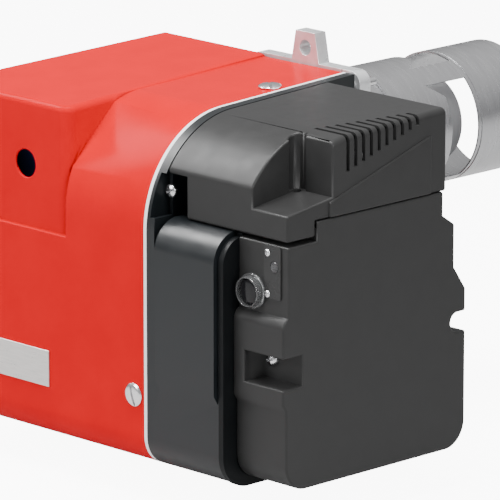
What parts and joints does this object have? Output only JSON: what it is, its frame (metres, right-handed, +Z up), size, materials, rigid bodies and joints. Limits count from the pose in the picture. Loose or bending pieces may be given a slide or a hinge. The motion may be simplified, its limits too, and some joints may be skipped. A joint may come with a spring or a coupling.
{
  "type": "oil burner",
  "caption": "Light-oil burner with a slotted blast tube, square boiler flange, rounded red hood over motor and pump, and a dark fan housing with vented air intake box.",
  "frame": {"origin": "centre of the boiler flange's boiler-side face, on the blast tube's axis", "axes": "+Y along the blast tube towards the boiler, +Z up, +X to the right seen from behind, towards the air intake box"},
  "size_m": [0.432, 0.506, 0.356],
  "materials": {
    "flange_metal": "satin cast",
    "screw_steel": "polished",
    "tube_steel": "brushed",
    "head_steel": "satin",
    "brass": "satin",
    "ceramic": "glazed",
    "lead_rubber": "matte",
    "duct_metal": "cast",
    "sensor_black": "satin",
    "trafo_grey": "matte",
    "control_blue": "matte",
    "button_red": "satin",
    "tray_steel": "zinc plated",
    "motor_paint": "painted",
    "winding": "enamelled",
    "rotor_steel": "ground",
    "can_grey": "drawn",
    "fan_zinc": "zinc plated",
    "coupling_plastic": "matte",
    "pump_metal": "die cast",
    "copper": "drawn copper",
    "housing_dark": "painted satin",
    "rim_black": "matte",
    "box_plastic": "satin",
    "panel_plastic": "satin",
    "lens_clear": "clear",
    "knob_clear": "clear",
    "knob_black": "gloss",
    "lever_black": "matte",
    "ram_steel": "ground",
    "foam": "open cell",
    "gasket_white": "matte",
    "hood_red": "gloss",
    "badge_silver": "brushed"
  },
  "bodies": {
    "burner": {"boiler_flange": "flange_metal", "flange_screws": "screw_steel", "tube_neck": "tube_steel", "blast_tube": "tube_steel", "inner_sleeve": "head_steel", "air_duct": "duct_metal", "line_gland": "brass", "flame_sensor": "sensor_black", "ignition_transformer": "trafo_grey", "control_box": "control_blue", "control_plug": "sensor_black", "component_tray": "tray_steel", "motor_body": "motor_paint", "motor_bracket": "duct_metal", "motor_end_cap": "duct_metal", "motor_stator": "winding", "motor_bearings": "rotor_steel", "capacitor": "can_grey", "fan_inlet_ring": "fan_zinc", "pump_carrier": "duct_metal", "oil_pump": "pump_metal", "solenoid_coil": "sensor_black", "oil_pipe": "copper", "fan_housing": "housing_dark", "joint_plate": "rim_black", "air_box": "box_plastic", "top_cap": "box_plastic", "case_screws": "screw_steel", "indicator_plate": "panel_plastic", "plate_screws": "screw_steel", "indicator_lens": "lens_clear", "reset_guard": "knob_clear", "ram_body": "ram_steel", "foam_lining": "foam", "seam_gasket": "gasket_white", "hood": "hood_red", "hood_screws": "screw_steel", "badge_plate": "badge_silver"},
    "rotor": {"motor_rotor": "rotor_steel", "motor_shaft": "rotor_steel", "fan_wheel": "fan_zinc", "pump_coupling": "coupling_plastic", "pump_shaft": "rotor_steel"},
    "damper": {"damper_flap": "fan_zinc", "damper_shaft": "fan_zinc", "damper_quadrant": "lever_black"},
    "ram": {"ram_rod": "ram_steel"},
    "reset": {"reset_button": "knob_black"},
    "control": {"control_button": "button_red"},
    "head": {"nozzle_holder": "head_steel", "nozzle": "brass", "electrode_insulators": "ceramic", "electrode_rods": "head_steel", "electrode_clamp": "head_steel", "diffuser_disc": "head_steel", "ht_leads": "lead_rubber"}
  },
  "joints": [
    {"name": "rotor_spin", "type": "hinge", "parent": "burner", "child": "rotor", "pos_m": [0, -0.145, -0.098], "axis": [-1, 0, 0], "continuous": true},
    {"name": "damper_turn", "type": "hinge", "parent": "burner", "child": "damper", "pos_m": [0.161, -0.145, -0.066], "axis": [0, -1, 0], "range_deg": [0, 80]},
    {"name": "ram_slide", "type": "slide", "parent": "burner", "child": "ram", "axis": [0, 0, 1], "range_m": [0, 0.02136]},
    {"name": "reset_press", "type": "slide", "parent": "burner", "child": "reset", "axis": [0, 1, 0], "range_m": [0, 0.003], "stiffness_N_per_m": 400, "springref_m": -0.002},
    {"name": "control_press", "type": "slide", "parent": "burner", "child": "control", "axis": [0, 1, 0], "range_m": [0, 0.003], "stiffness_N_per_m": 400, "springref_m": -0.002},
    {"name": "head_slide", "type": "slide", "parent": "burner", "child": "head", "axis": [0, 1, 0], "range_m": [0, 0.008]}
  ],
  "couplings": [
    {"joint": "damper_turn", "follows": "ram_slide", "rad_per_m": 65.36}
  ]
}
